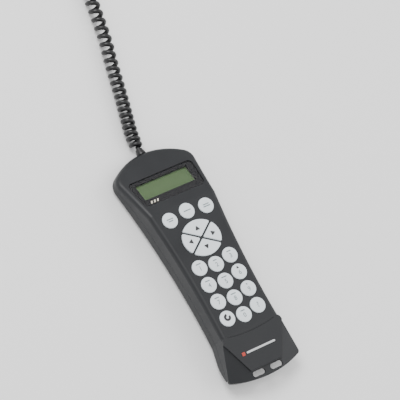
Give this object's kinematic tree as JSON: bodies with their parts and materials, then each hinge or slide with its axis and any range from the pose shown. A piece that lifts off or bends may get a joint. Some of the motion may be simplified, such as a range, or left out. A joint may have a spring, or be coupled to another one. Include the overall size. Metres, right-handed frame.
{
  "type": "telescope hand controller",
  "caption": "Hand-held keypad controller with a sloping display window, round keys, an oval arrow pad, a slotted foot lip and a curly cord ending in a modular plug.",
  "frame": {"origin": "on the surface that the flat back rests on, under the middle of the handset without its cord", "axes": "+Z out of the keypad face, +Y along the handset to the display and cord end, +X to the right of the keypad"},
  "size_m": [0.1146, 0.4232, 0.0293],
  "materials": {
    "casing": "fine-grained satin moulding",
    "window": "smoked and glossy",
    "soft_black": "matt",
    "bare_metal": "plated",
    "lcd": "green display glass",
    "light_guide": "milky",
    "circuit_board": "solder mask",
    "chip_black": "moulded",
    "connector_pale": "moulded",
    "ribbon": "film",
    "keys": "satin silicone",
    "gold": "gold plated",
    "screw_black": "black zinc",
    "cord_black": "satin cable sheath",
    "plug_clear": "clear moulding",
    "badge": "printed inlay"
  },
  "bodies": {
    "handset": {"backlight_guide": "light_guide", "backlight_leds": "light_guide", "board_chips": "chip_black", "board_connector": "connector_pale", "board_screws": "bare_metal", "casing_screws": "screw_black", "cord_clamp": "chip_black", "cord_coil": "cord_black", "cord_lead": "cord_black", "cord_tail": "cord_black", "display_gasket": "soft_black", "display_lens": "window", "display_ribbon": "ribbon", "foot_badge": "badge", "front_casing": "casing", "inner_leads": "cord_black", "jack_board": "circuit_board", "jack_ribbon": "ribbon", "keypad_web": "keys", "lcd_board": "circuit_board", "lcd_frame": "bare_metal", "lcd_glass": "lcd", "main_board": "circuit_board", "plug_body": "plug_clear", "plug_contacts": "gold", "rear_casing": "casing", "serial_jack": "chip_black", "serial_jack_contacts": "gold", "strain_relief": "cord_black"},
    "key_0_cap": {"key_0": "keys"},
    "key_1_cap": {"key_1": "keys"},
    "key_2_cap": {"key_2": "keys"},
    "key_3_cap": {"key_3": "keys"},
    "key_4_cap": {"key_4": "keys"},
    "key_5_cap": {"key_5": "keys"},
    "key_6_cap": {"key_6": "keys"},
    "key_7_cap": {"key_7": "keys"},
    "key_8_cap": {"key_8": "keys"},
    "key_9_cap": {"key_9": "keys"},
    "key_align_cap": {"key_align": "keys"},
    "key_back_cap": {"key_back": "keys"},
    "key_down_cap": {"key_down": "keys"},
    "key_enter_cap": {"key_enter": "keys"},
    "key_help_cap": {"key_help": "keys"},
    "key_left_cap": {"key_left": "keys"},
    "key_right_cap": {"key_right": "keys"},
    "key_undo_cap": {"key_undo": "keys"},
    "key_up_cap": {"key_up": "keys"},
    "latch": {"plug_latch": "plug_clear"}
  },
  "joints": [
    {"name": "key_0_press", "type": "slide", "parent": "handset", "child": "key_0_cap", "axis": [0, 0, -1], "range_m": [0, 0.0012], "stiffness_N_per_m": 400},
    {"name": "key_1_press", "type": "slide", "parent": "handset", "child": "key_1_cap", "axis": [0, 0, -1], "range_m": [0, 0.0012], "stiffness_N_per_m": 400},
    {"name": "key_2_press", "type": "slide", "parent": "handset", "child": "key_2_cap", "axis": [0, 0, -1], "range_m": [0, 0.0012], "stiffness_N_per_m": 400},
    {"name": "key_3_press", "type": "slide", "parent": "handset", "child": "key_3_cap", "axis": [0, 0, -1], "range_m": [0, 0.0012], "stiffness_N_per_m": 400},
    {"name": "key_4_press", "type": "slide", "parent": "handset", "child": "key_4_cap", "axis": [0, 0, -1], "range_m": [0, 0.0012], "stiffness_N_per_m": 400},
    {"name": "key_5_press", "type": "slide", "parent": "handset", "child": "key_5_cap", "axis": [0, 0, -1], "range_m": [0, 0.0012], "stiffness_N_per_m": 400},
    {"name": "key_6_press", "type": "slide", "parent": "handset", "child": "key_6_cap", "axis": [0, 0, -1], "range_m": [0, 0.0012], "stiffness_N_per_m": 400},
    {"name": "key_7_press", "type": "slide", "parent": "handset", "child": "key_7_cap", "axis": [0, 0, -1], "range_m": [0, 0.0012], "stiffness_N_per_m": 400},
    {"name": "key_8_press", "type": "slide", "parent": "handset", "child": "key_8_cap", "axis": [0, 0, -1], "range_m": [0, 0.0012], "stiffness_N_per_m": 400},
    {"name": "key_9_press", "type": "slide", "parent": "handset", "child": "key_9_cap", "axis": [0, 0, -1], "range_m": [0, 0.0012], "stiffness_N_per_m": 400},
    {"name": "key_align_press", "type": "slide", "parent": "handset", "child": "key_align_cap", "axis": [0, 0, -1], "range_m": [0, 0.0012], "stiffness_N_per_m": 400},
    {"name": "key_back_press", "type": "slide", "parent": "handset", "child": "key_back_cap", "axis": [0, 0, -1], "range_m": [0, 0.0012], "stiffness_N_per_m": 400},
    {"name": "key_down_press", "type": "slide", "parent": "handset", "child": "key_down_cap", "axis": [0, 0, -1], "range_m": [0, 0.0012], "stiffness_N_per_m": 400},
    {"name": "key_enter_press", "type": "slide", "parent": "handset", "child": "key_enter_cap", "axis": [0, 0, -1], "range_m": [0, 0.0012], "stiffness_N_per_m": 400},
    {"name": "key_help_press", "type": "slide", "parent": "handset", "child": "key_help_cap", "axis": [0, 0, -1], "range_m": [0, 0.0012], "stiffness_N_per_m": 400},
    {"name": "key_left_press", "type": "slide", "parent": "handset", "child": "key_left_cap", "axis": [0, 0, -1], "range_m": [0, 0.0012], "stiffness_N_per_m": 400},
    {"name": "key_right_press", "type": "slide", "parent": "handset", "child": "key_right_cap", "axis": [0, 0, -1], "range_m": [0, 0.0012], "stiffness_N_per_m": 400},
    {"name": "key_undo_press", "type": "slide", "parent": "handset", "child": "key_undo_cap", "axis": [0, 0, -1], "range_m": [0, 0.0012], "stiffness_N_per_m": 400},
    {"name": "key_up_press", "type": "slide", "parent": "handset", "child": "key_up_cap", "axis": [0, 0, -1], "range_m": [0, 0.0012], "stiffness_N_per_m": 400},
    {"name": "latch_flex", "type": "hinge", "parent": "handset", "child": "latch", "pos_m": [0.07154, 0.2684, 0.007], "axis": [0.9998, 0.0209, 0], "range_deg": [-9, 0], "stiffness_Nm_per_rad": 0.1}
  ]
}
